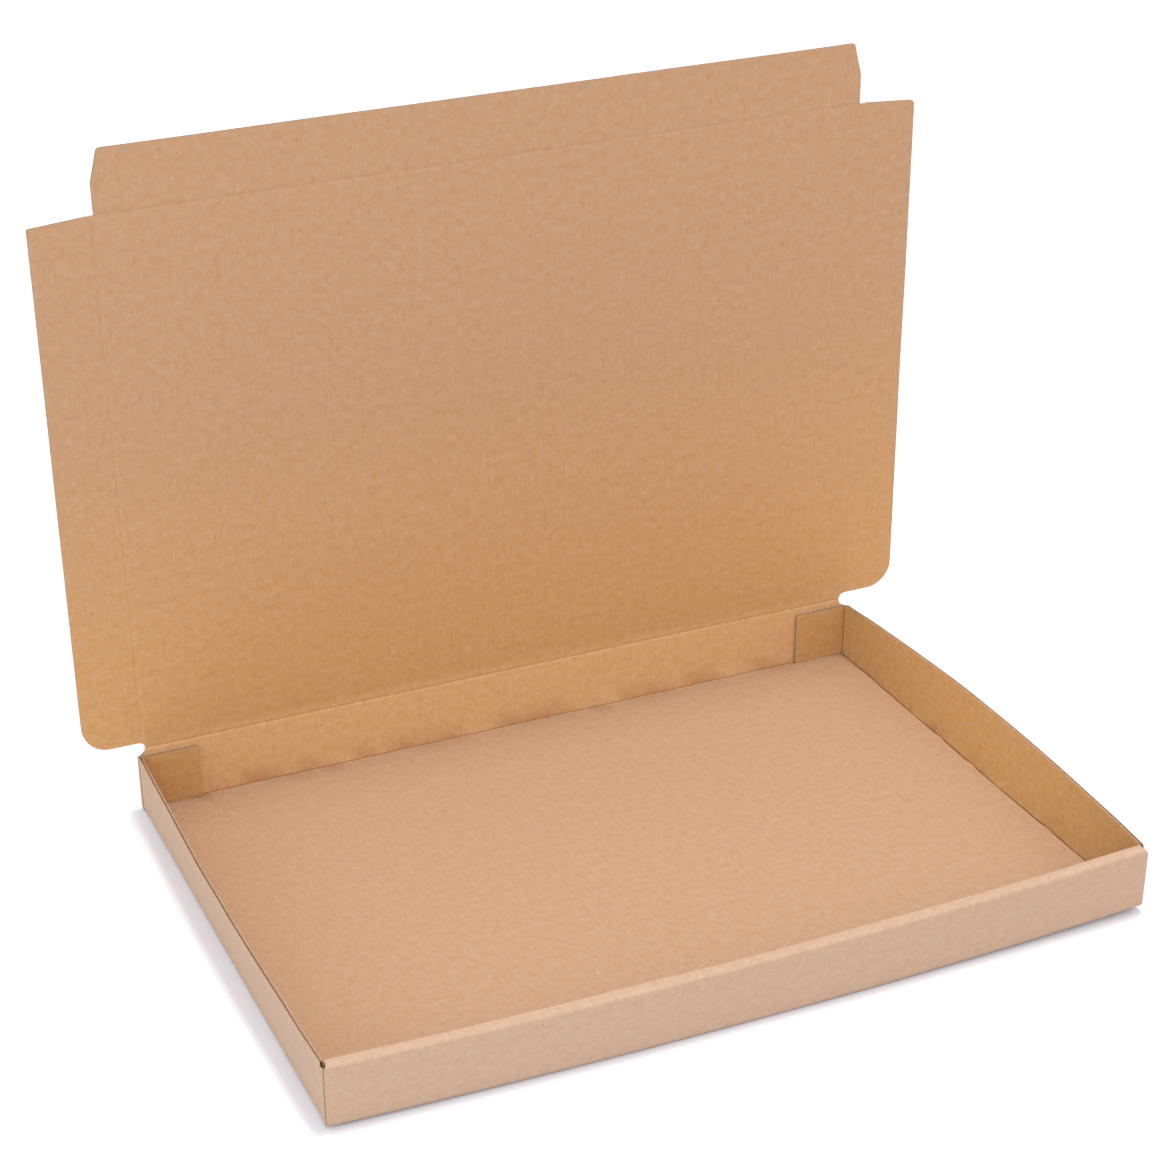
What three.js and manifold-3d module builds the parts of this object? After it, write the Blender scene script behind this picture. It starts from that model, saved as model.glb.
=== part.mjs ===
// A die-cut mailer box in single-wall corrugated board, shown with its lid standing open.
//
// One blank makes the whole box. Its base carries two side walls, a rear wall and a front wall.
// The front wall rolls over the side walls' front tabs and locks into two slots in the base, and the side
// walls' rear tabs lie on the rear wall. The lid grows from the top of the rear wall, and carries two dust
// flaps and a tuck flap. Those four panels turn at their creases, so each is a solid of its own.
//
// Millimetres. X runs along the box's width, Y from front to rear, and Z up. The origin is on the ground,
// under the middle of the box.
import * as THREE from "three";
import { mergeVertices } from "three/addons/utils/BufferGeometryUtils.js";
import Module from "manifold-3d";

const wasm = await Module();
wasm.setup();

// Board and folds
const boardThickness = 1.5;
const bendInnerRadius = 0.4;
const layerGap = 0.4; // between two layers of board that lie on each other
const creaseGap = 0.4; // between two panels that turn against each other
const creaseLand = 0.2; // the flat left in a panel's edge between the two Vs of its crease
const bendSteps = 6; // facets in a right-angled bend
const cornerSteps = 8; // facets in a rounded corner

// Tray
const trayWidth = 350;
const trayDepth = 248;
const wallHeight = 27.5; // side walls and front wall
const lidRise = 3; // from the walls' top edge to the lid's crease
const tabReach = 27; // from the side wall's outer face to the tab's free edge
const tabCornerRadius = 2;
const tabFootGap = 0.8; // from the floor to the tabs and to the rolled-over front panel
const wallCornerRadius = 1.5; // at the top of a side wall's ends
const lockTabWidth = 45;
const lockTabSpacing = 170;
const lockTabTaper = 2;
const slotClearance = 0.4;
const lockTabRecess = 0.2; // from the tabs' ends up to the underside of the base

// Lid and its flaps
const flapClearance = 0.4; // between a folded flap and the wall beside it
const dustFloorClearance = 2.9;
const dustFrontSlope = 1.8; // how much shorter a dust flap is along its free edge
const dustRearRadius = 12;
const dustFrontRadius = 1.5;
const tuckFloorClearance = 2.2;
const tuckStraight = 13;
const tuckTaper = 3.6;
const tuckCornerRadius = 1.5;
const reliefInset = 1; // how far the relief cut reaches past the dust flap's crease
const reliefDrop = 4.4; // how far it cuts down the rear wall's end

// Worked out from the sizes above
const half = boardThickness / 2;
const bendOuterRadius = bendInnerRadius + boardThickness;
const frontFace = -trayDepth / 2;
const rearFace = trayDepth / 2;
const sideFace = trayWidth / 2;
const hingeHeight = wallHeight + lidRise;
const tabFace = rearFace - boardThickness - layerGap; // outer face of the tabs, from the middle
const frontThickness = 3 * boardThickness + 2 * layerGap;
const innerPanelFace = frontFace + frontThickness;
const innerPanelHalf = sideFace - boardThickness - layerGap;
const tabFoot = boardThickness + tabFootGap;
const dustCrease = sideFace - boardThickness - flapClearance - half;
const dustDepth = hingeHeight - boardThickness - dustFloorClearance;
const dustRearEdge = half + layerGap + boardThickness + flapClearance; // from the lid's crease
const lidLength = trayDepth - boardThickness - frontThickness - flapClearance;
const tuckHalf = dustCrease - half - flapClearance;
const tuckLength = hingeHeight - boardThickness - tuckFloorClearance;
const weld = 0.02; // overlap where two stretches of the one sheet meet
const past = 1; // how far a cutting tool runs past the face that it cuts

// Solids

function solidOf(geometry) {
  const bare = geometry.clone();
  bare.deleteAttribute("normal");
  bare.deleteAttribute("uv");
  const merged = mergeVertices(bare, 1e-5);
  return new wasm.Manifold(
    new wasm.Mesh({
      numProp: 3,
      vertProperties: merged.getAttribute("position").array,
      triVerts: new Uint32Array(merged.index.array),
    }),
  );
}

function geometryOf(solid) {
  const mesh = solid.getMesh();
  const geometry = new THREE.BufferGeometry();
  geometry.setAttribute("position", new THREE.BufferAttribute(mesh.vertProperties, 3));
  geometry.setIndex(new THREE.BufferAttribute(mesh.triVerts, 1));
  const flat = geometry.toNonIndexed();
  flat.computeVertexNormals();
  return flat;
}

const joined = (solids) => solids.reduce((sum, next) => sum.add(next));
const cut = (solid, tools) => tools.reduce((rest, tool) => rest.subtract(tool), solid);

// Each plane's two drawing axes and the axis that it is extruded along.
const planes = {
  XY: [new THREE.Vector3(1, 0, 0), new THREE.Vector3(0, 1, 0), new THREE.Vector3(0, 0, 1)],
  YZ: [new THREE.Vector3(0, 1, 0), new THREE.Vector3(0, 0, 1), new THREE.Vector3(1, 0, 0)],
  XZ: [new THREE.Vector3(1, 0, 0), new THREE.Vector3(0, 0, 1), new THREE.Vector3(0, -1, 0)],
};

// A shape drawn in a plane, made solid between two values of the axis across that plane.
function extruded(shape, plane, low, high) {
  const geometry = new THREE.ExtrudeGeometry(shape, {
    depth: high - low,
    bevelEnabled: false,
    curveSegments: cornerSteps,
  });
  const [across, up, along] = planes[plane];
  const start = plane === "XZ" ? high : low;
  const basis = new THREE.Matrix4().makeBasis(across, up, along);
  basis.setPosition(along.clone().multiplyScalar(plane === "XZ" ? -start : start));
  return solidOf(geometry.applyMatrix4(basis));
}

// Outlines

const point = (x, y) => new THREE.Vector2(x, y);

// The section of a sheet with right-angled bends. The path follows the outer face, and turns left at each bend.
function foldedSection(path) {
  const outer = [];
  const inner = [];
  path.forEach((corner, i) => {
    const into = i > 0 ? corner.clone().sub(path[i - 1]).normalize() : null;
    const out = i < path.length - 1 ? path[i + 1].clone().sub(corner).normalize() : null;
    if (!into || !out) {
      const way = into || out;
      outer.push(corner);
      inner.push(corner.clone().add(point(-way.y, way.x).multiplyScalar(boardThickness)));
      return;
    }
    const centre = corner
      .clone()
      .addScaledVector(into, -bendOuterRadius)
      .addScaledVector(out, bendOuterRadius);
    for (let step = 0; step <= bendSteps; step++) {
      const angle = (step / bendSteps) * (Math.PI / 2);
      const ray = into.clone().multiplyScalar(Math.sin(angle)).addScaledVector(out, -Math.cos(angle));
      outer.push(centre.clone().addScaledVector(ray, bendOuterRadius));
      inner.push(centre.clone().addScaledVector(ray, bendInnerRadius));
    }
  });
  return new THREE.Shape([...outer, ...inner.reverse()]);
}

// A polygon whose corners are rounded. Each corner is [x, y] or [x, y, radius].
function roundedOutline(corners) {
  const shape = new THREE.Shape();
  corners.forEach(([x, y, radius = 0], i) => {
    const here = point(x, y);
    const before = point(...corners[(i + corners.length - 1) % corners.length].slice(0, 2)).sub(here);
    const after = point(...corners[(i + 1) % corners.length].slice(0, 2)).sub(here);
    const cutBack = radius / Math.tan(Math.abs(before.angleTo(after)) / 2);
    const start = here.clone().addScaledVector(before.normalize(), cutBack);
    const end = here.clone().addScaledVector(after.normalize(), cutBack);
    if (i === 0) shape.moveTo(start.x, start.y);
    else shape.lineTo(start.x, start.y);
    if (radius > 0) shape.quadraticCurveTo(x, y, end.x, end.y);
  });
  shape.closePath();
  return shape;
}

const mirrored = (corners) => corners.map(([x, ...rest]) => [-x, ...rest]);

function rectangle(left, bottom, right, top) {
  return roundedOutline([
    [left, bottom],
    [right, bottom],
    [right, top],
    [left, top],
  ]);
}

// The V that a crease leaves in a panel's edge, as a bar along the crease. `face` is -1 for the inner face
// and 1 for the outer one, and (a, b) is the crease's place in the bar's section, with b across the board.
function creaseSection(a, b, face) {
  const reach = half + past;
  const tipDepth = (creaseGap - creaseLand) / 2;
  const tip = b - face * tipDepth;
  const spread = reach + tipDepth;
  return [point(a, tip), point(a + spread, b + face * reach), point(a - spread, b + face * reach)];
}

// Tray

function baseSolid() {
  const sheet = rectangle(
    -sideFace + bendOuterRadius - weld,
    frontFace + bendOuterRadius - weld,
    sideFace - bendOuterRadius + weld,
    rearFace - bendOuterRadius + weld,
  );
  const slots = [-1, 1].map((side) => {
    const middle = (side * lockTabSpacing) / 2;
    const reach = lockTabWidth / 2 + slotClearance;
    const slot = rectangle(
      middle - reach,
      innerPanelFace - boardThickness - slotClearance,
      middle + reach,
      innerPanelFace + slotClearance,
    );
    return extruded(slot, "XY", -past, boardThickness + past);
  });
  return cut(extruded(sheet, "XY", 0, boardThickness), slots);
}

function rearWallSolid() {
  const section = foldedSection([
    point(rearFace - bendOuterRadius, 0),
    point(rearFace, 0),
    point(rearFace, hingeHeight - reliefDrop),
  ]);
  const ends = dustCrease - reliefInset;
  const top = new THREE.Shape();
  top.moveTo(-sideFace, hingeHeight - reliefDrop - weld);
  top.lineTo(sideFace, hingeHeight - reliefDrop - weld);
  top.lineTo(sideFace, hingeHeight - reliefDrop);
  top.quadraticCurveTo(ends, hingeHeight - dustRearEdge, ends, hingeHeight - creaseGap / 2);
  top.lineTo(-ends, hingeHeight - creaseGap / 2);
  top.quadraticCurveTo(-ends, hingeHeight - dustRearEdge, -sideFace, hingeHeight - reliefDrop);
  const wall = joined([
    extruded(section, "YZ", -sideFace, sideFace),
    extruded(top, "XZ", rearFace - boardThickness, rearFace),
  ]);
  return cut(wall, hingeGrooves(rearFace - half, hingeHeight));
}

// The lid turns both ways, so its crease has a V on either face.
function hingeGrooves(y, z) {
  return [-1, 1].map((face) => {
    const section = creaseSection(z, y, face).map((p) => point(p.y, p.x));
    return extruded(new THREE.Shape(section), "YZ", -sideFace - past, sideFace + past);
  });
}

function frontWallSolid() {
  const outerPanel = foldedSection([
    point(frontFace, wallHeight - bendOuterRadius + weld),
    point(frontFace, 0),
    point(frontFace + bendOuterRadius, 0),
  ]);
  const rollOver = foldedSection([
    point(innerPanelFace, wallHeight - bendOuterRadius - weld),
    point(innerPanelFace, wallHeight),
    point(frontFace, wallHeight),
    point(frontFace, wallHeight - bendOuterRadius),
  ]);
  return joined([
    extruded(outerPanel, "YZ", -sideFace, sideFace),
    extruded(rollOver, "YZ", -innerPanelHalf, innerPanelHalf),
    extruded(innerPanelShape(), "XZ", innerPanelFace - boardThickness, innerPanelFace),
  ]);
}

function innerPanelShape() {
  const corners = [
    [-innerPanelHalf, wallHeight - bendOuterRadius],
    [-innerPanelHalf, tabFoot],
  ];
  for (const side of [-1, 1]) {
    const middle = (side * lockTabSpacing) / 2;
    const reach = lockTabWidth / 2;
    corners.push(
      [middle - reach, tabFoot],
      [middle - reach, boardThickness],
      [middle - reach + lockTabTaper, lockTabRecess],
      [middle + reach - lockTabTaper, lockTabRecess],
      [middle + reach, boardThickness],
      [middle + reach, tabFoot],
    );
  }
  corners.push([innerPanelHalf, tabFoot], [innerPanelHalf, wallHeight - bendOuterRadius]);
  return roundedOutline(corners);
}

// One side wall with its bend from the base and its two tabs. `side` is -1 on the left and 1 on the right.
function sideWallSolid(side) {
  const wallEnd = tabFace - bendOuterRadius;
  const flip = (path) => (side > 0 ? path : path.map((p) => point(-p.x, p.y)).reverse());
  const bend = foldedSection(
    flip([
      point(sideFace - bendOuterRadius, 0),
      point(sideFace, 0),
      point(sideFace, bendOuterRadius),
    ]),
  );
  const wall = roundedOutline([
    [-wallEnd - weld, bendOuterRadius - weld],
    [wallEnd + weld, bendOuterRadius - weld],
    [wallEnd + weld, wallHeight, wallCornerRadius],
    [-wallEnd - weld, wallHeight, wallCornerRadius],
  ]);
  const faces = [side * sideFace, side * (sideFace - boardThickness)].sort((a, b) => a - b);
  const tabBend = (end) => {
    const path = [
      point(sideFace, end * wallEnd),
      point(sideFace, end * tabFace),
      point(sideFace - bendOuterRadius, end * tabFace),
    ];
    return foldedSection(flip(end > 0 ? path : path.reverse()));
  };
  const tabs = [
    { end: 1, top: wallHeight - wallCornerRadius },
    { end: -1, top: wallHeight - boardThickness - layerGap },
  ].flatMap(({ end, top }) => {
    const inner = sideFace - tabReach;
    const outline = [
      [sideFace - bendOuterRadius + weld, tabFoot],
      [sideFace - bendOuterRadius + weld, top],
      [inner, top, tabCornerRadius],
      [inner, tabFoot, tabCornerRadius],
    ];
    const layer = [end * tabFace, end * (tabFace - boardThickness)].sort((a, b) => a - b);
    return [
      extruded(tabBend(end), "XY", tabFoot, top),
      extruded(roundedOutline(side > 0 ? outline : mirrored(outline)), "XZ", ...layer),
    ];
  });
  return joined([
    extruded(bend, "XZ", -wallEnd - weld, wallEnd + weld),
    extruded(wall, "YZ", ...faces),
    ...tabs,
  ]);
}

function traySolid() {
  return joined([baseSolid(), rearWallSolid(), frontWallSolid(), sideWallSolid(-1), sideWallSolid(1)]);
}

// Lid and flaps, drawn about their own creases: X along the hinge, Z up the open lid, and the board's
// middle at Y 0 with its inner face towards -Y.

// A V along a crease that runs up the lid, at X 0.
function uprightGroove(low, high) {
  return extruded(new THREE.Shape(creaseSection(0, 0, -1)), "XY", low, high);
}

// A V along a crease that runs across the lid, at Z 0.
function levelGroove() {
  const section = creaseSection(0, 0, -1).map((p) => point(p.y, p.x));
  return extruded(new THREE.Shape(section), "YZ", -sideFace - past, sideFace + past);
}

function lidSolid() {
  const edge = dustCrease - creaseGap / 2;
  const panel = extruded(
    rectangle(-edge, creaseGap / 2, edge, lidLength - creaseGap / 2),
    "XZ",
    -half,
    half,
  );
  const relief = new THREE.Shape();
  relief.absarc(0, 0, dustRearEdge, 0, 2 * Math.PI);
  const reliefs = [-1, 1].map((side) => {
    const middle = side * (dustCrease - reliefInset + dustRearEdge);
    return extruded(relief, "XZ", -half - past, half + past).translate([middle, 0, 0]);
  });
  const upright = uprightGroove(-past, lidLength + past);
  return cut(panel, [
    ...reliefs,
    ...hingeGrooves(0, 0),
    upright.translate([-dustCrease, 0, 0]),
    upright.translate([dustCrease, 0, 0]),
    levelGroove().translate([0, 0, lidLength]),
  ]);
}

function dustFlapSolid(side) {
  const outline = [
    [creaseGap / 2, dustRearEdge],
    [dustDepth, dustRearEdge, dustRearRadius],
    [dustDepth, lidLength - dustFrontSlope, dustFrontRadius],
    [creaseGap / 2, lidLength],
  ];
  const panel = extruded(roundedOutline(side > 0 ? outline : mirrored(outline)), "XZ", -half, half);
  return cut(panel, [uprightGroove(-past, lidLength + past)]);
}

function tuckFlapSolid() {
  const outline = [
    [-tuckHalf, creaseGap / 2],
    [tuckHalf, creaseGap / 2],
    [tuckHalf, tuckStraight, tuckStraight / 4],
    [tuckHalf - tuckTaper, tuckLength, tuckCornerRadius],
    [-tuckHalf + tuckTaper, tuckLength, tuckCornerRadius],
    [-tuckHalf, tuckStraight, tuckStraight / 4],
  ];
  return cut(extruded(roundedOutline(outline), "XZ", -half, half), [levelGroove()]);
}

// Assembly

const kraft = { color: 0xc89b72, roughness: 0.92, metalness: 0 };

function node(name, solid) {
  const mesh = new THREE.Mesh(geometryOf(solid), new THREE.MeshStandardMaterial(kraft));
  mesh.name = name;
  return mesh;
}

function turningGroup(x, y, z, ...members) {
  const group = new THREE.Group();
  group.position.set(x, y, z);
  group.add(...members);
  return group;
}

const lidGroup = turningGroup(
  0,
  rearFace - half,
  hingeHeight,
  node("lid", lidSolid()),
  turningGroup(-dustCrease, 0, 0, node("left_dust_flap", dustFlapSolid(-1))),
  turningGroup(dustCrease, 0, 0, node("right_dust_flap", dustFlapSolid(1))),
  turningGroup(0, 0, lidLength, node("tuck_flap", tuckFlapSolid())),
);

const mailerBox = new THREE.Group();
mailerBox.add(node("tray", traySolid()), lidGroup);

export default mailerBox;
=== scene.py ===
"""The mailer box in corrugated board: two liners and a fluted medium, folded from one blank, with crushed
creases, on a pale floor in soft light. Lengths are millimetres until a mesh is made, which is in metres."""
import math

import bpy
import numpy as np
from mathutils import Matrix, Vector
from mathutils.geometry import delaunay_2d_cdt


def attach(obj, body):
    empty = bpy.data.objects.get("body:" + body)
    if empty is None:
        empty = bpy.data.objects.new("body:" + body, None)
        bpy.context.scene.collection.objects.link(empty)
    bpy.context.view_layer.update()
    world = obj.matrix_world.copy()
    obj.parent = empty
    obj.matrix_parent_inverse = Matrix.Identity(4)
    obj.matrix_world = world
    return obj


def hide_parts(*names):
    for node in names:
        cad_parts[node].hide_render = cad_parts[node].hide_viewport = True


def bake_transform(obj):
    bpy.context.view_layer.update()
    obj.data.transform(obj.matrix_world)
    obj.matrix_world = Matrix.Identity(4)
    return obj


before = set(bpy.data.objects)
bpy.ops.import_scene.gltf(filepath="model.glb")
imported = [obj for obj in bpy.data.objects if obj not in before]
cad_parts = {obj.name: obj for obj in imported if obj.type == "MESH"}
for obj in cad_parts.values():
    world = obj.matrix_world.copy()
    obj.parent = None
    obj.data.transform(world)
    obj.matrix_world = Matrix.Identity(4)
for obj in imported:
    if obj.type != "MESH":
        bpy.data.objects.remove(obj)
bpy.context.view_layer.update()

MM = 0.001

# Sizes of the board and the box, as in the CAD model
BOARD = 1.5
HALF = BOARD / 2
BEND = 1.15  # radius of a bend at the board's middle
SIDE = 175.0
FRONT = -124.0
REAR = 124.0
WALL = 27.5
HINGE = 30.5
ROLL_INNER = FRONT + 5.3
ROLL_HALF = 173.35
TAB_MIDDLE = 121.7
TAB_EDGE = SIDE - 27.0
TAB_FOOT = 1.75
REAR_TAB_TOP = 27.0
FRONT_TAB_TOP = 25.6
WALL_END = TAB_MIDDLE - BEND
DUST_CREASE = 172.35
DUST = 26.1
DUST_EDGE = DUST_CREASE + DUST
DUST_REAR = 3.05
DUST_SLOPE = 1.8
RELIEF_INSET = 1.0
RELIEF_DROP = 4.4
RELIEF_HALF = DUST_CREASE - RELIEF_INSET
RELIEF_MIDDLE = RELIEF_HALF + DUST_REAR
LID = 240.8
TUCK_HALF = 171.2
TUCK = 26.8
TUCK_STRAIGHT = 13.0
TUCK_TAPER = 3.6
LOCK_SPACING = 170.0
LOCK_WIDTH = 45.0
CREASE = 2.0  # half of a crushed strip's width

# Make-up of the board
LINER = 0.2
MEDIUM = 0.17
FLUTE = 3.3
FLUTE_STEPS = 8
ROLL_BEND = 0.85  # the roll-over front has tighter bends

INSIDE, OUTSIDE, CUT, CORE, WALL_INSIDE_PAINTED_BOUNCE = 0, 1, 2, 3, 4


def ease(t):
    t = np.clip(t, 0.0, 1.0)
    return t * t * (3 - 2 * t)


# How this box stands: the board isn't flat and the walls aren't straight.

rng = np.random.default_rng(11)
WAVES = [
    (a, rng.uniform(0, 2 * math.pi), rng.uniform(0, math.pi), length)
    for a, length in ((0.12, 140), (0.09, 90), (0.04, 52))
]


def ripple(u, v):
    """How far the board's middle lies off its true place, across the board. It is even in u, so that
    mirrored sheets meet their neighbours."""
    total = np.zeros_like(u)
    u = np.hypot(u, 30)
    for height, phase, heading, length in WAVES:
        k = 2 * math.pi / length
        total += height * np.sin(k * (u * math.cos(heading) + v * math.sin(heading)) + phase)
        across = u * math.sin(heading) - v * math.cos(heading)
        total += height * 0.7 * np.cos(k * across * 1.3 + 2 * phase)
    return total


def grounded(u, v, on_ground):
    """The ripple, which the ground flattens where the board lies on it."""
    return ripple(u, v) * (1 - 0.82 * on_ground) - 0.1 * on_ground


FRONT_BOW = 3.8
LEFT_BOW = 2.2
RIGHT_BOW = 7.5
LEFT_LIFT = 0.9
RIGHT_LIFT = 2.1


def settle(x, y, z):
    """The tray's walls bow and its front corners lift. Nothing moves at the lid's crease or above it."""
    by_lid = (1 - ease((HINGE - 1 - z) / 3)) * ease((y - 100) / 18)
    low = 1 - by_lid
    along = np.clip(1 - (y / 124) ** 2, 0, 1)
    height = np.clip(z / WALL, 0, 1.1)
    near_side = ease((np.abs(x) - 120) / 50)
    bow = np.where(x > 0, RIGHT_BOW * along * height**1.2, -LEFT_BOW * along * height**1.2)
    forward = np.clip(-y / 124, 0, 1) ** 3
    middle = np.clip(1 - (x / SIDE) ** 2, 0, 1)
    lift = np.where(x > 0, RIGHT_LIFT, LEFT_LIFT) * (x / SIDE) ** 2 * np.clip(-y / 124, 0, 1) ** 2
    return (
        x + low * bow * near_side,
        y - low * FRONT_BOW * middle * forward,
        z + low * lift,
    )


# Paths: the board's middle along a folded section, and the side on which its outer face lies


class Path:
    def __init__(self, corners, radii):
        corners = [np.array(c, float) for c in corners]
        self.parts = []
        s = 0.0
        start = corners[0]
        for i in range(1, len(corners)):
            way = corners[i] - corners[i - 1]
            way /= np.linalg.norm(way)
            last = i == len(corners) - 1
            radius = 0 if last else radii[i - 1]
            end = corners[i] if last else corners[i] - way * radius
            length = float(np.dot(end - start, way))
            self.parts.append((s, s + length, "line", start, way, None, 0))
            s += length
            if not last:
                out = corners[i + 1] - corners[i]
                out /= np.linalg.norm(out)
                length = radius * math.pi / 2
                centre = end + out * radius
                self.parts.append((s, s + length, "bend", centre, way, out, radius))
                s += length
                start = corners[i] + out * radius
        self.length = s

    def at(self, s):
        s = np.asarray(s, float)
        point = np.zeros(s.shape + (2,))
        normal = np.zeros(s.shape + (2,))
        for i, (s0, s1, kind, base, way, out, radius) in enumerate(self.parts):
            inside = (s >= s0) | (i == 0)
            if not inside.any():
                continue
            t = (s[inside] - s0)[:, None]
            if kind == "line":
                point[inside] = base + t * way
                normal[inside] = np.array([way[1], -way[0]])
            else:
                angle = t / radius
                ray = way * np.sin(angle) - out * np.cos(angle)
                point[inside] = base + ray * radius
                normal[inside] = ray
        return point, normal

    def stops(self, spacing, steps=8):
        """Where the mesh gets a row: often in bends, and seldom in straight stretches."""
        rows = []
        for s0, s1, kind, *rest in self.parts:
            n = steps if kind == "bend" else max(1, int(math.ceil((s1 - s0) / spacing)))
            rows += list(np.linspace(s0, s1, n + 1))
        return rows


MAIN = Path(
    [
        (ROLL_INNER - HALF, TAB_FOOT),
        (ROLL_INNER - HALF, WALL - HALF),
        (FRONT + HALF, WALL - HALF),
        (FRONT + HALF, HALF),
        (REAR - HALF, HALF),
        (REAR - HALF, HINGE + LID + TUCK + 5),
    ],
    (ROLL_BEND, ROLL_BEND, BEND, BEND),
)
S_ROLL_END = MAIN.parts[3][1]
S_BASE = MAIN.parts[5][1]
S_REAR = MAIN.parts[7][0]
S_HINGE = MAIN.parts[8][0] + HINGE - (HALF + BEND)


def main_place(u, v, w):
    point, normal = MAIN.at(v)
    on_ground = ease((v - S_BASE + 6) / 6) * ease((S_REAR + 6 - v) / 6)
    w = w + grounded(u, v, on_ground)
    return u, point[:, 0] + normal[:, 0] * w, point[:, 1] + normal[:, 1] * w


WALL_PATH = Path([(SIDE - HALF - BEND, HALF), (SIDE - HALF, HALF), (SIDE - HALF, WALL + 5)], (BEND,))
WALL_TOP = WALL_PATH.parts[1][1] + WALL - HALF - BEND
BLANK_WALL = SIDE - HALF - BEND  # where the wall's path starts on the blank


def wall_place(u, v, w):
    """The right wall with its bend from the base: u runs up the wall and v along it."""
    point, normal = WALL_PATH.at(u - BLANK_WALL)
    w = w + grounded(u, v, ease((BLANK_WALL + 7 - u) / 6))
    return point[:, 0] + normal[:, 0] * w, v, point[:, 1] + normal[:, 1] * w


TAB_PATH = Path([(SIDE - HALF, WALL_END), (SIDE - HALF, TAB_MIDDLE), (TAB_EDGE, TAB_MIDDLE)], (BEND,))
UP_WALL = BLANK_WALL + WALL_PATH.parts[1][1] - (HALF + BEND)  # blank's u less height


def tab_place(end):
    """A tab of the right wall, with its upright bend: v runs from the wall's end to the tab's free edge."""

    def place(u, v, w):
        s = end * v - WALL_END
        point, normal = TAB_PATH.at(s)
        w = w + ripple(u, v)
        return point[:, 0] + normal[:, 0] * w, end * (point[:, 1] + normal[:, 1] * w), u - UP_WALL

    return place


# Meshes


def pocket(s, middle, depth, width=0.42):
    """How far the inner liner buckles away from the inside of a bend."""
    return depth * np.exp(-(((s - middle) / width) ** 2))


def wander(v):
    """The crushed line of a fold isn't quite straight."""
    return 0.3 * np.sin(v / 11.0) + 0.24 * np.sin(v / 5.1 + 1.3) + 0.14 * np.sin(v / 2.3 + 0.4)


def main_pocket(u, v):
    total = np.zeros_like(v)
    for part, depth in ((5, 0.5), (7, 0.75)):
        total += pocket(v, sum(MAIN.parts[part][:2]) / 2 + 0.5 * wander(u), depth)
    return total


def wall_pocket(u, v):
    middle = BLANK_WALL + sum(WALL_PATH.parts[1][:2]) / 2
    return pocket(u, middle + 1.2 * wander(v), 1.05 + 0.15 * np.sin(v / 13), 0.5)


def tab_pocket(end):
    middle = sum(TAB_PATH.parts[1][:2]) / 2
    return lambda u, v: pocket(end * v - WALL_END, middle + 0.4 * wander(u), 0.6)


def no_pocket(u, v):
    return np.zeros_like(u)


def inside_polygon(points, outline):
    result = np.zeros(len(points), bool)
    x, y = points[:, 0], points[:, 1]
    for (x0, y0), (x1, y1) in zip(outline, np.roll(outline, -1, axis=0)):
        crosses = (y0 > y) != (y1 > y)
        if y1 != y0:
            result ^= crosses & (x < (x1 - x0) * (y - y0) / (y1 - y0) + x0)
    return result


def far_from_outline(points, outline, gap):
    keep = np.ones(len(points), bool)
    for a, b in zip(outline, np.roll(outline, -1, axis=0)):
        way = b - a
        t = np.clip(((points - a) @ way) / max(way @ way, 1e-12), 0, 1)
        keep &= np.linalg.norm(points - a - t[:, None] * way, axis=1) > gap
    return keep


def split_outline(outline, u_lines, v_lines):
    """The outline with a point wherever it crosses one of the mesh's lines."""
    points = []
    for a, b in zip(outline, np.roll(outline, -1, axis=0)):
        stops = [0.0]
        for axis, lines in ((0, u_lines), (1, v_lines)):
            if abs(b[axis] - a[axis]) > 1e-9:
                t = (np.asarray(lines) - a[axis]) / (b[axis] - a[axis])
                stops += [value for value in t if 1e-6 < value < 1 - 1e-6]
        stops = sorted(stops)
        kept = [stops[0]]
        length = np.linalg.norm(b - a)
        for value in stops[1:]:
            if (value - kept[-1]) * length > 0.02 and (1 - value) * length > 0.02:
                kept.append(value)
        points += [a + (b - a) * value for value in kept]
    return np.array(points)


def rounded(corners, steps=6):
    """A polygon whose corners are [u, v] or [u, v, radius]."""
    points = []
    count = len(corners)
    for i, corner in enumerate(corners):
        here = np.array(corner[:2], float)
        radius = corner[2] if len(corner) > 2 else 0
        if not radius:
            points.append(here)
            continue
        before = np.array(corners[i - 1][:2], float) - here
        after = np.array(corners[(i + 1) % count][:2], float) - here
        before /= np.linalg.norm(before)
        after /= np.linalg.norm(after)
        angle = math.acos(float(np.clip(before @ after, -1, 1)))
        cut = radius / math.tan(angle / 2)
        middle = before + after
        middle /= np.linalg.norm(middle)
        centre = here + middle * radius / math.sin(angle / 2)
        p0 = here + before * cut - centre
        p1 = here + after * cut - centre
        sweep = math.acos(float(np.clip(p0 @ p1 / radius**2, -1, 1)))
        for k in range(steps + 1):
            f = k / steps
            points.append(
                centre + (p0 * math.sin((1 - f) * sweep) + p1 * math.sin(f * sweep)) / math.sin(sweep)
            )
    return np.array(points)


def ruled(points, rings, u_lines, v_lines):
    """Edges along the mesh's lines, so that no triangle cuts across a bend."""
    edges = []
    for axis, stops in ((0, u_lines), (1, v_lines)):
        for stop in sorted(set(stops)):
            on_line = np.nonzero(np.abs(points[:, axis] - stop) < 1e-6)[0]
            on_line = on_line[np.argsort(points[on_line, 1 - axis])]
            if len(on_line) < 2:
                continue
            middles = (points[on_line[1:]] + points[on_line[:-1]]) / 2
            keep = inside_polygon(middles, rings[0])
            for ring in rings[1:]:
                keep &= ~inside_polygon(middles, ring)
            edges += [(int(a), int(b)) for a, b, k in zip(on_line, on_line[1:], keep) if k]
    return edges


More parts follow.
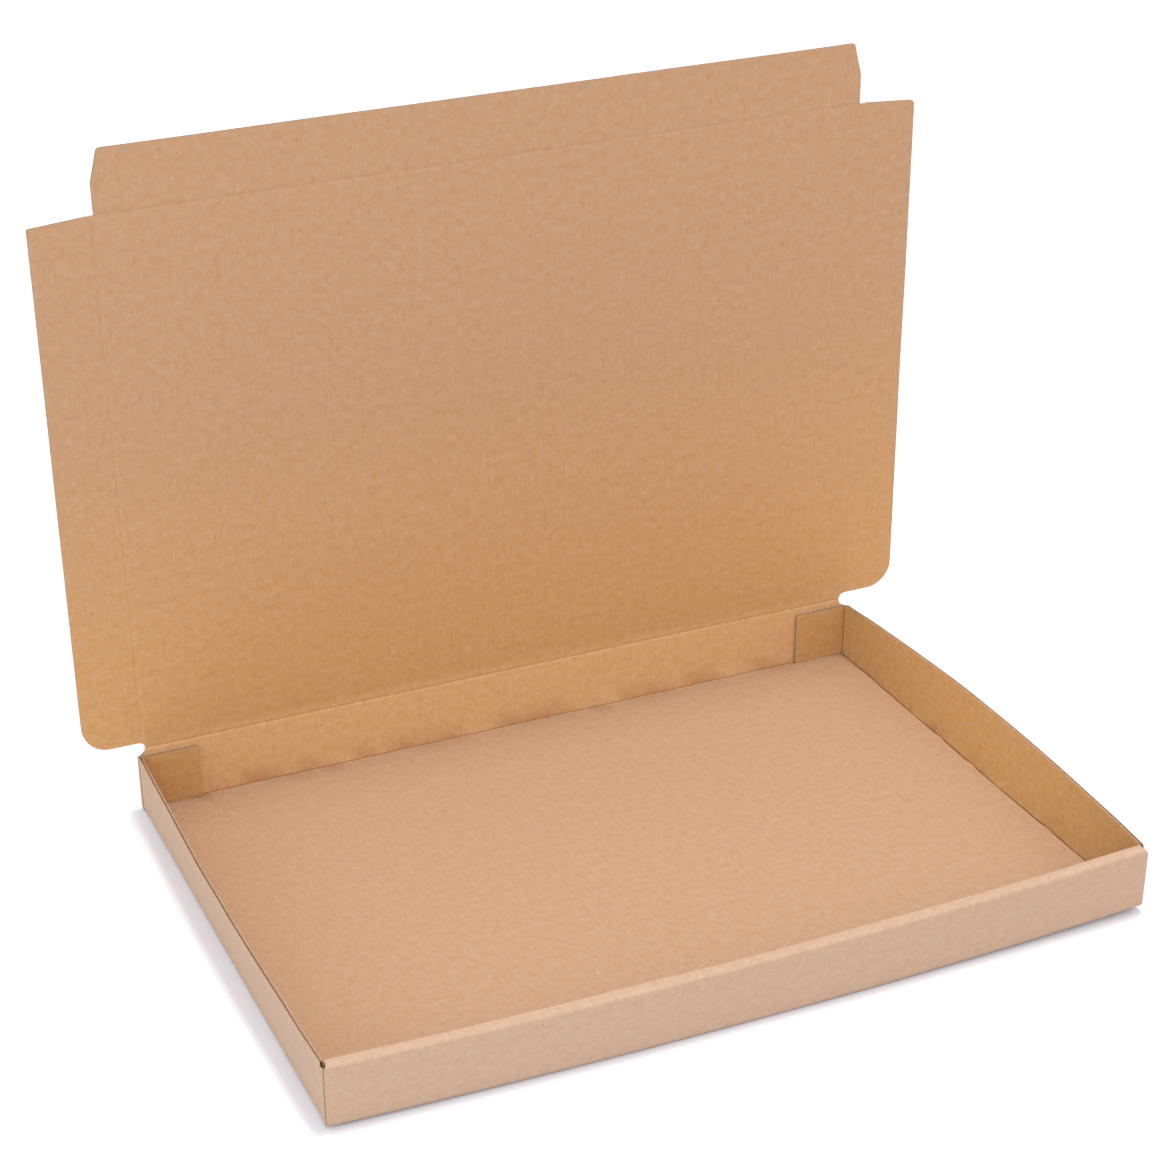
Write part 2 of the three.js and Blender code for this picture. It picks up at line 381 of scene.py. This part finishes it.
class Board:
    """Gathers sheets of board and makes one mesh of them."""

    def __init__(self):
        self.points = []
        self.faces = []
        self.blank = []
        self.marks = []
        self.count = 0

    def sheet(self, outline, u_lines, v_lines, place, low, high, marks, holes=(), mirror=False):
        """A closed sheet between two heights across the board. marks are the slots of its low face, its
        high face and its rim."""
        outline = split_outline(np.asarray(outline, float), u_lines, v_lines)
        rings = [outline] + [split_outline(np.asarray(h, float), u_lines, v_lines) for h in holes]
        grid = np.array([(u, v) for u in sorted(set(u_lines)) for v in sorted(set(v_lines))], float)
        if len(grid):
            grid = grid[inside_polygon(grid, outline)]
        for k, ring in enumerate(rings):
            if len(grid):
                if k:
                    grid = grid[~inside_polygon(grid, ring)]
                grid = grid[far_from_outline(grid, ring, 0.04)]
        corners = []
        edges = []
        for ring in rings:
            first = len(corners)
            corners += [tuple(p) for p in ring]
            edges += [(first + i, first + (i + 1) % len(ring)) for i in range(len(ring))]
        corners += [tuple(p) for p in grid]
        edges += ruled(np.array(corners), rings, u_lines, v_lines)
        found = delaunay_2d_cdt([Vector(c) for c in corners], edges, [], 0, 1e-5)
        flat = np.array([tuple(p) for p in found[0]], float)
        triangles = np.array([tuple(f) for f in found[2]], int)
        centres = flat[triangles].mean(axis=1)
        keep = inside_polygon(centres, outline)
        for ring in rings[1:]:
            keep &= ~inside_polygon(centres, ring)
        triangles = triangles[keep]
        used, triangles = np.unique(triangles, return_inverse=True)
        flat = flat[used]
        triangles = triangles.reshape(-1, 3)
        u, v = flat[:, 0], flat[:, 1]
        layers = []
        for level in (low, high):
            w = level(u, v) if callable(level) else np.full(len(u), float(level))
            x, y, z = place(u, v, w)
            x, y, z = settle(-x if mirror else x, y, z)
            layers.append(np.stack([x, y, z], axis=1))
        bottom, top = layers
        a, b, c = (top[triangles[:, k]] for k in range(3))
        across = (top - bottom)[triangles[:, 0]]
        facing = np.einsum("ij,ij->i", np.cross(b - a, c - a), across)
        if np.median(np.sign(facing)) < 0:
            triangles = triangles[:, ::-1]
        n = len(flat)
        sides = {}
        for t in triangles:
            for i in range(3):
                sides[(t[i], t[(i + 1) % 3])] = True
        rim = [(p, q) for p, q in sides if (q, p) not in sides]
        base = self.count
        self.points += [bottom, top]
        blank = np.stack([-u if mirror else u, v], axis=1)
        self.blank += [blank, blank]
        self.faces += [tuple(base + k for k in t[::-1]) for t in triangles]
        self.marks += [marks[0]] * len(triangles)
        self.faces += [tuple(base + n + k for k in t) for t in triangles]
        self.marks += [marks[1]] * len(triangles)
        self.faces += [(base + p, base + q, base + n + q, base + n + p) for p, q in rim]
        self.marks += [marks[2]] * len(rim)
        self.count += 2 * n

    def liners(
        self, outline, u_lines, v_lines, place, holes=(), mirror=False, buckle=no_pocket, inside=INSIDE
    ):
        def inner(height):
            return lambda u, v: height + buckle(u, v)

        shape = (outline, u_lines, v_lines, place)
        self.sheet(*shape, inner(-HALF), inner(-HALF + LINER), (inside, CORE, CUT), holes, mirror)
        self.sheet(*shape, HALF - LINER, HALF, (CORE, OUTSIDE, CUT), holes, mirror)

    def medium(self, outline, v_lines, place, mirror=False, shift=0.0):
        """The fluted paper between the liners: its waves run across the blank, and shift moves them."""
        outline = np.asarray(outline, float)
        step = FLUTE / FLUTE_STEPS
        first = math.ceil(outline[:, 0].min() / step)
        last = math.floor(outline[:, 0].max() / step)
        u_lines = [k * step for k in range(first, last + 1)]
        swing = HALF - LINER - MEDIUM / 2 - 0.04

        def wave(offset):
            return lambda u, v: offset + swing * np.sin(2 * math.pi * (u - shift) / FLUTE)

        shape = (outline, u_lines, v_lines, place)
        self.sheet(*shape, wave(-MEDIUM / 2), wave(MEDIUM / 2), (CORE, CORE, CORE), (), mirror)

    def object(self, name, materials):
        points = np.concatenate(self.points) * MM
        blank = np.concatenate(self.blank) * MM
        mesh = bpy.data.meshes.new(name)
        mesh.from_pydata(points.tolist(), [], self.faces)
        for material in materials:
            mesh.materials.append(material)
        mesh.polygons.foreach_set("material_index", self.marks)
        mesh.polygons.foreach_set("use_smooth", [True] * len(self.faces))
        corners = np.zeros(len(mesh.loops), np.int32)
        mesh.loops.foreach_get("vertex_index", corners)
        layer = mesh.uv_layers.new(name="blank")
        layer.data.foreach_set("uv", blank[corners].astype(np.float32).ravel())
        mesh.update()
        mesh.set_sharp_from_angle(angle=math.radians(38))
        mesh.validate()
        thing = bpy.data.objects.new(name, mesh)
        bpy.context.scene.collection.objects.link(thing)
        return thing


def lines(low, high, spacing):
    return list(np.linspace(low, high, max(1, int(round((high - low) / spacing))) + 1))


def both_sides(right):
    """A closed outline from its right half, which runs from the bottom to the top."""
    right = np.asarray(right, float)
    left = right[::-1] * np.array([-1, 1])
    return np.concatenate([right, left])


# Kraft paper


def kraft(name, tone, depth=1.0, washboard=1.0, grain=1.0, streaks=1.0, along=()):
    """Brown liner paper: a cloudy tone, long pale and dark fibres, a few specks, and the faint washboard
    that the flutes leave, as a bump with painted shade in its troughs. along lists the stretches of the
    blank over which the tone turns into another; on the inside these stretches are painted bounce light."""
    material = bpy.data.materials.new(name)
    material.use_nodes = True
    nodes = material.node_tree.nodes
    links = material.node_tree.links
    shader = nodes["Principled BSDF"]
    shader.inputs["Roughness"].default_value = 0.88
    shader.inputs["Specular IOR Level"].default_value = 0.22

    def node(kind, **values):
        made = nodes.new(kind)
        for key, value in values.items():
            setattr(made, key, value)
        return made

    def math_node(operation, a, b=None):
        made = node("ShaderNodeMath", operation=operation)
        for socket, value in zip(made.inputs, (a, b)):
            if value is None:
                continue
            if isinstance(value, (int, float)):
                socket.default_value = value
            else:
                links.new(value, socket)
        return made.outputs[0]

    def scaled(scale):
        made = node("ShaderNodeMapping")
        made.inputs["Scale"].default_value = scale
        links.new(coordinates.outputs["UV"], made.inputs["Vector"])
        return made.outputs[0]

    def noise(scale, detail=3.0, rough=0.55, distortion=0.0):
        made = node("ShaderNodeTexNoise")
        made.inputs["Scale"].default_value = 1.0
        made.inputs["Detail"].default_value = detail
        made.inputs["Roughness"].default_value = rough
        made.inputs["Distortion"].default_value = distortion
        links.new(scaled(scale), made.inputs["Vector"])
        return math_node("SUBTRACT", made.outputs["Fac"], 0.5)

    coordinates = node("ShaderNodeTexCoord")
    split = node("ShaderNodeSeparateXYZ")
    links.new(coordinates.outputs["UV"], split.inputs[0])
    cloud = noise((9, 9, 1), 3)
    streak = noise((1050, 190, 1), 3, 0.6)
    mottle = noise((240, 300, 1), 4, 0.62)
    fibre = noise((420, 1900, 1), 3, 0.6, 0.4)
    cross = noise((1500, 380, 1), 2, 0.6, 0.4)
    drift = noise((60, 9, 1), 3)
    # flute is the washboard's wave. It drives the bump, and in the colour it paints faint shade along the
    # washboard's troughs.
    angle = math_node("MULTIPLY", split.outputs["X"], 2 * math.pi / (FLUTE * MM))
    flute = math_node("SINE", angle)
    uneven_washboard = math_node("ADD", math_node("MULTIPLY", drift, 2.2), 0.75)
    flute = math_node("MULTIPLY", flute, uneven_washboard)
    speck = node("ShaderNodeTexVoronoi", feature="F1")
    speck.inputs["Scale"].default_value = 1.0
    speck.inputs["Randomness"].default_value = 1.0
    links.new(scaled((420, 300, 1)), speck.inputs["Vector"])
    spot = math_node("LESS_THAN", speck.outputs["Distance"], 0.13)
    chance = node("ShaderNodeSeparateColor")
    links.new(speck.outputs["Color"], chance.inputs[0])
    dark = math_node("MULTIPLY", spot, math_node("GREATER_THAN", chance.outputs[0], 0.9))
    pale = math_node("MULTIPLY", spot, math_node("LESS_THAN", chance.outputs[0], 0.08))

    total = 1.0
    for source, weight in (
        (cloud, 0.03 * depth),
        (mottle, 0.17 * depth),
        (fibre, 0.20 * grain),
        (cross, 0.10 * grain),
        (streak, 0.26 * streaks),
        (flute, 0.011 * washboard),
        (dark, -0.2),
        (pale, 0.1),
    ):
        total = math_node("ADD", math_node("MULTIPLY", source, weight), total)
    tint = node("ShaderNodeMix", data_type="RGBA", blend_type="MULTIPLY")
    tint.inputs["Factor"].default_value = 1.0
    tint.inputs["A"].default_value = (*tone, 1)
    ground = None
    for low, high, colour in along:
        step = node("ShaderNodeMapRange", interpolation_type="SMOOTHSTEP")
        step.inputs["From Min"].default_value = low * MM
        step.inputs["From Max"].default_value = high * MM
        links.new(split.outputs["Y"], step.inputs["Value"])
        blend = node("ShaderNodeMix", data_type="RGBA")
        blend.inputs["A"].default_value = (*tone, 1)
        if ground is not None:
            links.new(ground, blend.inputs["A"])
        blend.inputs["B"].default_value = (*colour, 1)
        links.new(step.outputs["Result"], blend.inputs["Factor"])
        ground = blend.outputs["Result"]
    if ground is not None:
        links.new(ground, tint.inputs["A"])
    links.new(total, tint.inputs["B"])
    warm = node("ShaderNodeHueSaturation")
    links.new(math_node("ADD", math_node("MULTIPLY", mottle, -0.35), 1.0), warm.inputs["Saturation"])
    links.new(tint.outputs["Result"], warm.inputs["Color"])
    links.new(warm.outputs["Color"], shader.inputs["Base Color"])

    height = math_node("MULTIPLY", flute, 0.5 * washboard)
    height = math_node("ADD", height, math_node("MULTIPLY", fibre, 0.55))
    height = math_node("ADD", height, math_node("MULTIPLY", mottle, 0.35))
    bump = node("ShaderNodeBump")
    bump.inputs["Strength"].default_value = 0.84
    bump.inputs["Distance"].default_value = 0.00003
    links.new(height, bump.inputs["Height"])
    links.new(bump.outputs["Normal"], shader.inputs["Normal"])
    return material


def paper_edge(name, tone):
    """Cut paper: rough, and mottled by the ends of its fibres."""
    material = bpy.data.materials.new(name)
    material.use_nodes = True
    nodes = material.node_tree.nodes
    links = material.node_tree.links
    shader = nodes["Principled BSDF"]
    shader.inputs["Roughness"].default_value = 0.95
    shader.inputs["Specular IOR Level"].default_value = 0.15
    coordinates = nodes.new("ShaderNodeTexCoord")
    grain = nodes.new("ShaderNodeTexNoise")
    grain.inputs["Scale"].default_value = 900
    grain.inputs["Detail"].default_value = 3
    links.new(coordinates.outputs["UV"], grain.inputs["Vector"])
    ramp = nodes.new("ShaderNodeValToRGB")
    ramp.color_ramp.elements[0].position = 0.3
    ramp.color_ramp.elements[0].color = (*[0.8 * c for c in tone], 1)
    ramp.color_ramp.elements[1].position = 0.72
    ramp.color_ramp.elements[1].color = (*[min(1, 1.18 * c) for c in tone], 1)
    links.new(grain.outputs["Fac"], ramp.inputs["Fac"])
    links.new(ramp.outputs["Color"], shader.inputs["Base Color"])
    return material


INSIDE_TONE = (0.435, 0.269, 0.161)
# The rear wall's, the lid crease's and the lid's tones are painted bounce light: warmer, brighter paper
# standing in for the light that the tray's floor throws back on them. The board is one sheet of one tone.
REAR_PAINTED_BOUNCE_TONE = (0.61, 0.350, 0.163)
HINGE_PAINTED_BOUNCE_TONE = (0.515, 0.280, 0.117)
LID_TONE = (0.445, 0.260, 0.143)
OUTSIDE_TONE = (0.470, 0.315, 0.214)
painted_bounce_stretches = (
    (S_REAR - 2, S_REAR + 2, REAR_PAINTED_BOUNCE_TONE),
    (S_HINGE - 2, S_HINGE + 6, HINGE_PAINTED_BOUNCE_TONE),
    (S_HINGE + 5, S_HINGE + 190, LID_TONE),
)
materials = [
    kraft("kraft_inside", INSIDE_TONE, along=painted_bounce_stretches),
    kraft("kraft_outside", OUTSIDE_TONE, washboard=0.3, streaks=0.35, grain=1.25),
    paper_edge("cut_liner", (0.50, 0.33, 0.21)),
    paper_edge("fluting", (0.43, 0.275, 0.165)),
    # The walls' and tabs' inner faces are the inside paper with painted bounce light: a deeper orange
    # standing in for the light that the tray's floor throws on them.
    kraft("kraft_wall_inside_painted_bounce", (0.51, 0.277, 0.108)),
]

# The tray's main strip: inner front panel, roll-over, outer front panel, base and rear wall

relief_low = S_HINGE - RELIEF_DROP


def relief(half_width, low, high, steps=9):
    """The curved cut that leads from the rear wall's end up towards the lid's crease, as far as high."""
    start = np.array([SIDE, low])
    pull = np.array([half_width, S_HINGE - 3.05])
    end = np.array([half_width, S_HINGE])
    fine = [
        (1 - t) ** 2 * start + 2 * t * (1 - t) * pull + t * t * end for t in np.linspace(0, 1, 201)
    ]
    stop = min(range(201), key=lambda k: abs(fine[k][1] - high))
    points = [fine[round(k * stop / steps)] for k in range(steps)]
    points.append(np.array([fine[stop][0], high]))
    return points


def relief_at(v):
    return relief(RELIEF_HALF, relief_low, v)[-1][0]


reach = LOCK_WIDTH / 2
lock_middle = LOCK_SPACING / 2
main_right = [
    (lock_middle - reach, 0),
    (lock_middle - reach, 0.5 - TAB_FOOT + BOARD - 0.7),
    (lock_middle - reach + 2, 0.2 - TAB_FOOT),
    (lock_middle + reach - 2, 0.2 - TAB_FOOT),
    (lock_middle + reach, 0.5 - TAB_FOOT + BOARD - 0.7),
    (lock_middle + reach, 0),
    (ROLL_HALF, 0),
    (ROLL_HALF, S_ROLL_END - 1.5),
    (ROLL_HALF + 0.7, S_ROLL_END - 0.7),
    (SIDE - 0.35, S_ROLL_END - 0.3),
    (SIDE, S_ROLL_END + 0.5),
    (SIDE, S_BASE),
    (BLANK_WALL, S_BASE),
    (BLANK_WALL, S_REAR),
    (SIDE, S_REAR),
    *[tuple(p) for p in relief(RELIEF_HALF, relief_low, S_HINGE - CREASE)],
]
slots = []
for side in (-1, 1):
    u0 = side * lock_middle - reach - 0.4
    u1 = side * lock_middle + reach + 0.4
    v0 = S_BASE + (ROLL_INNER - BOARD - 0.4) - (FRONT + HALF + BEND)
    v1 = v0 + BOARD + 0.8
    slots.append([(u0, v0), (u1, v0), (u1, v1), (u0, v1)])
main_rows = [s for s in MAIN.stops(9) if s <= S_HINGE - CREASE]
main_columns = lines(-SIDE, SIDE, 8.75)
tray = Board()
tray.liners(both_sides(main_right), main_columns, main_rows, main_place, slots, buckle=main_pocket)
for side in (1, -1):
    for low, high in (
        (0.0, S_ROLL_END - 0.6),
        (S_ROLL_END + 1.2, S_BASE),
        (S_REAR, S_HINGE - 4.6),
    ):
        end = ROLL_HALF if low == 0.0 else SIDE
        band = [(end - 9.7, low), (end - 0.03, low), (end - 0.03, high), (end - 9.7, high)]
        tray.medium(band, [s for s in main_rows if low < s < high], main_place, mirror=side < 0)

# The side walls with their tabs

wall_columns = [BLANK_WALL + s for s in WALL_PATH.stops(6) if s <= WALL_TOP] + [BLANK_WALL + WALL_TOP]
wall_rows = lines(-WALL_END, WALL_END, 2.4)
top_u = BLANK_WALL + WALL_TOP
wall_outline = rounded(
    [
        (BLANK_WALL, -WALL_END),
        (top_u, -WALL_END, 1.5),
        (top_u, WALL_END, 0.5),
        (BLANK_WALL, WALL_END),
    ]
)
for mirror in (False, True):
    tray.liners(wall_outline, wall_columns, wall_rows, wall_place, (), mirror, wall_pocket, WALL_INSIDE_PAINTED_BOUNCE)
    band = [
        (top_u - 7, -WALL_END),
        (top_u - 0.03, -WALL_END + 1.5),
        (top_u - 0.03, WALL_END - 1.5),
        (top_u - 7, WALL_END),
    ]
    tray.medium(band, wall_rows, wall_place, mirror, 0.0 if mirror else top_u % FLUTE)
    for end, top in ((1, REAR_TAB_TOP), (-1, FRONT_TAB_TOP)):
        far = WALL_END + TAB_PATH.length
        low = UP_WALL + TAB_FOOT
        high = UP_WALL + top
        outline = rounded(
            [(low, end * WALL_END), (high, end * WALL_END), (high, end * far, 1.0), (low, end * far, 1.0)]
        )
        rows = [end * (WALL_END + s) for s in TAB_PATH.stops(6)]
        place = tab_place(end)
        tray.liners(outline, lines(low, high, 6), rows, place, (), mirror, tab_pocket(end), WALL_INSIDE_PAINTED_BOUNCE)
        band = [
            (low, end * (far - 8)),
            (high, end * (far - 8)),
            (high, end * (far - 1)),
            (high - 0.9, end * (far - 0.03)),
            (low + 0.9, end * (far - 0.03)),
            (low, end * (far - 1)),
        ]
        tray.medium(band, [], place, mirror=mirror)

tray_board = tray.object("tray_board", materials)
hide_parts("tray")
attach(tray_board, "tray")

# The lid and its flaps, which lie on the same path past the rear wall

LID_ROWS = (S_HINGE + CREASE, S_HINGE + LID - CREASE)
LID_EDGE = DUST_CREASE - CREASE
lid = Board()
lid.liners(
    [(-LID_EDGE, LID_ROWS[0]), (LID_EDGE, LID_ROWS[0]), (LID_EDGE, LID_ROWS[1]), (-LID_EDGE, LID_ROWS[1])],
    lines(-LID_EDGE, LID_EDGE, 9),
    lines(*LID_ROWS, 9),
    main_place,
)
lid_board = lid.object("lid_board", materials)
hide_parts("lid")
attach(lid_board, "lid")

dust_low = S_HINGE + DUST_REAR
dust_high = S_HINGE + LID
for name, mirror in (("right_dust_flap", False), ("left_dust_flap", True)):
    outline = rounded(
        [
            (DUST_CREASE + CREASE, dust_low),
            (DUST_EDGE, dust_low, 12.0),
            (DUST_EDGE, dust_high - DUST_SLOPE, 0.7 if mirror else 1.9),
            (DUST_CREASE + CREASE, dust_high - DUST_SLOPE * CREASE / DUST),
        ],
        10,
    )
    rows = lines(dust_low, dust_high, 9)
    flap = Board()
    flap.liners(outline, lines(DUST_CREASE + CREASE, DUST_EDGE, 6), rows, main_place, mirror=mirror)
    core = rounded(
        [
            (DUST_CREASE + CREASE + 0.1, dust_low + 0.03),
            (DUST_EDGE - 0.03, dust_low + 0.03, 12.0),
            (DUST_EDGE - 0.03, dust_high - DUST_SLOPE - 0.03, 1.5),
            (DUST_CREASE + CREASE + 0.1, dust_high - 0.3),
        ],
        10,
    )
    flap.medium(core, rows, main_place, mirror=mirror)
    piece = flap.object(name + "_board", materials)
    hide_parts(name)
    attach(piece, name)

tuck_low = S_HINGE + LID + CREASE
tuck_high = S_HINGE + LID + TUCK
tuck_bend = S_HINGE + LID + TUCK_STRAIGHT
tuck_outline = rounded(
    [
        (-TUCK_HALF, tuck_low),
        (TUCK_HALF, tuck_low),
        (TUCK_HALF, tuck_bend, 4.0),
        (TUCK_HALF - TUCK_TAPER, tuck_high, 0.7),
        (-TUCK_HALF + TUCK_TAPER, tuck_high, 1.7),
        (-TUCK_HALF, tuck_bend, 4.0),
    ]
)
tuck = Board()
tuck.liners(tuck_outline, lines(-TUCK_HALF, TUCK_HALF, 9), lines(tuck_low, tuck_high, 8), main_place)
tip = TUCK_HALF - TUCK_TAPER
tuck.medium(
    rounded(
        [
            (-tip - 1.8, tuck_high - 7),
            (tip + 1.8, tuck_high - 7),
            (tip - 0.04, tuck_high - 0.03, 1.5),
            (-tip + 0.04, tuck_high - 0.03, 1.5),
        ]
    ),
    [],
    main_place,
)
for mirror in (False, True):
    band = [
        (TUCK_HALF - 8, tuck_low),
        (TUCK_HALF - 0.05, tuck_low),
        (TUCK_HALF - 0.05, tuck_bend - 2),
        (tip + 2.0, tuck_high - 7.2),
        (TUCK_HALF - 8, tuck_high - 7.2),
    ]
    tuck.medium(band, lines(tuck_low, tuck_high, 6), main_place, mirror=mirror)
tuck_board = tuck.object("tuck_flap_board", materials)
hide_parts("tuck_flap")
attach(tuck_board, "tuck_flap")

# The creases between bodies: crushed board with a groove inside

GROOVE = 0.16
HINGE_GROOVE = 0.34
TUCK_GROOVE = 0.22
PROFILE = [-2, -1.7, -1.4, -1.15, -0.9, -0.7, -0.5, -0.3, -0.1, 0.1, 0.3, 0.5, 0.7, 0.9, 1.15, 1.4, 1.7, 2]


def crushed(distance, depth):
    """The two faces across a crease, from the distance to its line."""
    lean = 1 + 0.35 * np.sign(distance) * np.minimum(1, np.abs(distance))
    groove = depth * np.exp(-((distance / 0.62) ** 2)) * lean
    return -HALF + groove, HALF + 0.6 * depth * np.exp(-((distance / 0.8) ** 2))


def crease(name, outline, u_lines, v_lines, distance, start, end, mirror=False, depth=GROOVE):
    strip = Board()
    strip.sheet(
        outline,
        u_lines,
        v_lines,
        main_place,
        lambda u, v: crushed(distance(u, v), depth)[0],
        lambda u, v: crushed(distance(u, v), depth)[1],
        (INSIDE, OUTSIDE, CUT),
        mirror=mirror,
    )
    piece = strip.object(name, materials)
    sign = -1 if mirror else 1
    start = (start[0] * sign * MM, start[1] * MM, start[2] * MM)
    end = (end[0] * sign * MM, end[1] * MM, end[2] * MM)
    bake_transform(piece)
    return piece


Y_LID = REAR - HALF
hinge_right = [(relief_at(S_HINGE + b), S_HINGE + b) for b in (-2.0, -1.6, -1.2, -0.8, -0.4, 0.0)]
for b in (0.4, 0.8, 1.2, 1.6, 2.0):
    hinge_right.append((RELIEF_MIDDLE - math.sqrt(DUST_REAR**2 - b * b), S_HINGE + b))
crease(
    "lid_crease_strip",
    both_sides(hinge_right),
    lines(-172, 172, 7),
    [S_HINGE + p for p in PROFILE],
    lambda u, v: v - S_HINGE,
    (0, Y_LID, HINGE - CREASE),
    (0, Y_LID, HINGE + CREASE),
    depth=HINGE_GROOVE,
)
for name, mirror in (("right", False), ("left", True)):
    start_v = S_HINGE + CREASE
    outline = [(LID_EDGE, start_v), (RELIEF_MIDDLE - math.sqrt(DUST_REAR**2 - 4.0), start_v)]
    for b in (2.25, 2.5, 2.7, 2.9, 3.0):
        outline.append((RELIEF_MIDDLE - math.sqrt(DUST_REAR**2 - b * b), S_HINGE + b))
    outline += [
        (DUST_CREASE + CREASE, dust_low),
        (DUST_CREASE + CREASE, dust_high - DUST_SLOPE * CREASE / DUST),
        (DUST_CREASE, dust_high),
        (LID_EDGE, dust_high),
    ]
    crease(
        name + "_dust_crease_strip",
        outline,
        [DUST_CREASE + p for p in PROFILE],
        lines(start_v, dust_high, 7),
        lambda u, v: u - DUST_CREASE,
        (DUST_CREASE - CREASE, Y_LID, HINGE + 100),
        (DUST_CREASE + CREASE, Y_LID, HINGE + 100),
        mirror,
    )
tuck_right = [
    (LID_EDGE, S_HINGE + LID - CREASE),
    (LID_EDGE, S_HINGE + LID),
    (TUCK_HALF, S_HINGE + LID + 0.02),
    (TUCK_HALF, S_HINGE + LID + CREASE),
]
crease(
    "tuck_crease_strip",
    both_sides(tuck_right),
    lines(-171, 171, 7),
    [S_HINGE + LID + p for p in PROFILE],
    lambda u, v: v - S_HINGE - LID,
    (0, Y_LID, HINGE + LID - CREASE),
    (0, Y_LID, HINGE + LID + CREASE),
    depth=TUCK_GROOVE,
)

# Floor, light and camera

floor_mesh = bpy.data.meshes.new("floor")
floor_mesh.from_pydata([(-60, -60, 0), (60, -60, 0), (60, 60, 0), (-60, 60, 0)], [], [(0, 1, 2, 3)])
floor = bpy.data.objects.new("floor", floor_mesh)
bpy.context.scene.collection.objects.link(floor)
paper = bpy.data.materials.new("pale_floor")
paper.use_nodes = True
shader = paper.node_tree.nodes["Principled BSDF"]
shader.inputs["Base Color"].default_value = (0.80, 0.79, 0.815, 1)
shader.inputs["Roughness"].default_value = 0.9
shader.inputs["Specular IOR Level"].default_value = 0.1
floor_mesh.materials.append(paper)

world = bpy.data.worlds.new("studio")
bpy.context.scene.world = world
world.use_nodes = True
world.node_tree.nodes["Background"].inputs["Color"].default_value = (0.95, 0.95, 1.0, 1)
world.node_tree.nodes["Background"].inputs["Strength"].default_value = 1.08


def area_light(name, place, target, size, power, colour):
    lamp = bpy.data.lights.new(name, "AREA")
    lamp.shape = "DISK"
    lamp.size = size
    lamp.energy = power
    lamp.color = colour
    thing = bpy.data.objects.new(name, lamp)
    bpy.context.scene.collection.objects.link(thing)
    thing.location = place
    thing.rotation_euler = (Vector(target) - Vector(place)).to_track_quat("-Z", "Y").to_euler()


area_light("key", (0.32, 0.1, 2.3), (0, 0, 0), 0.5, 28, (1.0, 0.975, 0.95))
area_light("front", (-0.5, -2.3, 1.2), (0, 0.1, 0.12), 1.4, 13, (1.0, 0.985, 0.97))
area_light("side", (-2.3, -0.5, 0.8), (0, 0, 0), 1.2, 15, (0.6, 0.86, 1.0))

FRAME_SIDE = 1176  # pixels, as are the next three
FOCAL_LENGTH = 2603.2
AIM_X = 474.1
AIM_Y = 656.0

yaw, pitch, roll = math.radians(21.259), math.radians(27.842), math.radians(-1.688)
ahead = Vector((math.sin(yaw) * math.cos(pitch), math.cos(yaw) * math.cos(pitch), -math.sin(pitch)))
right = Vector((math.cos(yaw), -math.sin(yaw), 0))
up = right.cross(ahead)
right_rolled = math.cos(roll) * right + math.sin(roll) * up
up_rolled = -math.sin(roll) * right + math.cos(roll) * up
turn = Matrix((right_rolled, up_rolled, -ahead)).transposed()
lens = bpy.data.cameras.new("camera")
lens.sensor_width = 36
lens.lens = lens.sensor_width * FOCAL_LENGTH / FRAME_SIDE
lens.shift_x = (FRAME_SIDE / 2 - AIM_X) / FRAME_SIDE
lens.shift_y = (AIM_Y - FRAME_SIDE / 2) / FRAME_SIDE
lens.clip_start = 0.05
camera = bpy.data.objects.new("camera", lens)
bpy.context.scene.collection.objects.link(camera)
camera.matrix_world = Matrix.Translation((-0.39464, -0.84943, 0.59234)) @ turn.to_4x4()
bpy.context.scene.camera = camera
bpy.context.scene.view_settings.view_transform = "Standard"
bpy.context.scene.view_settings.look = "None"

bpy.context.view_layer.update()
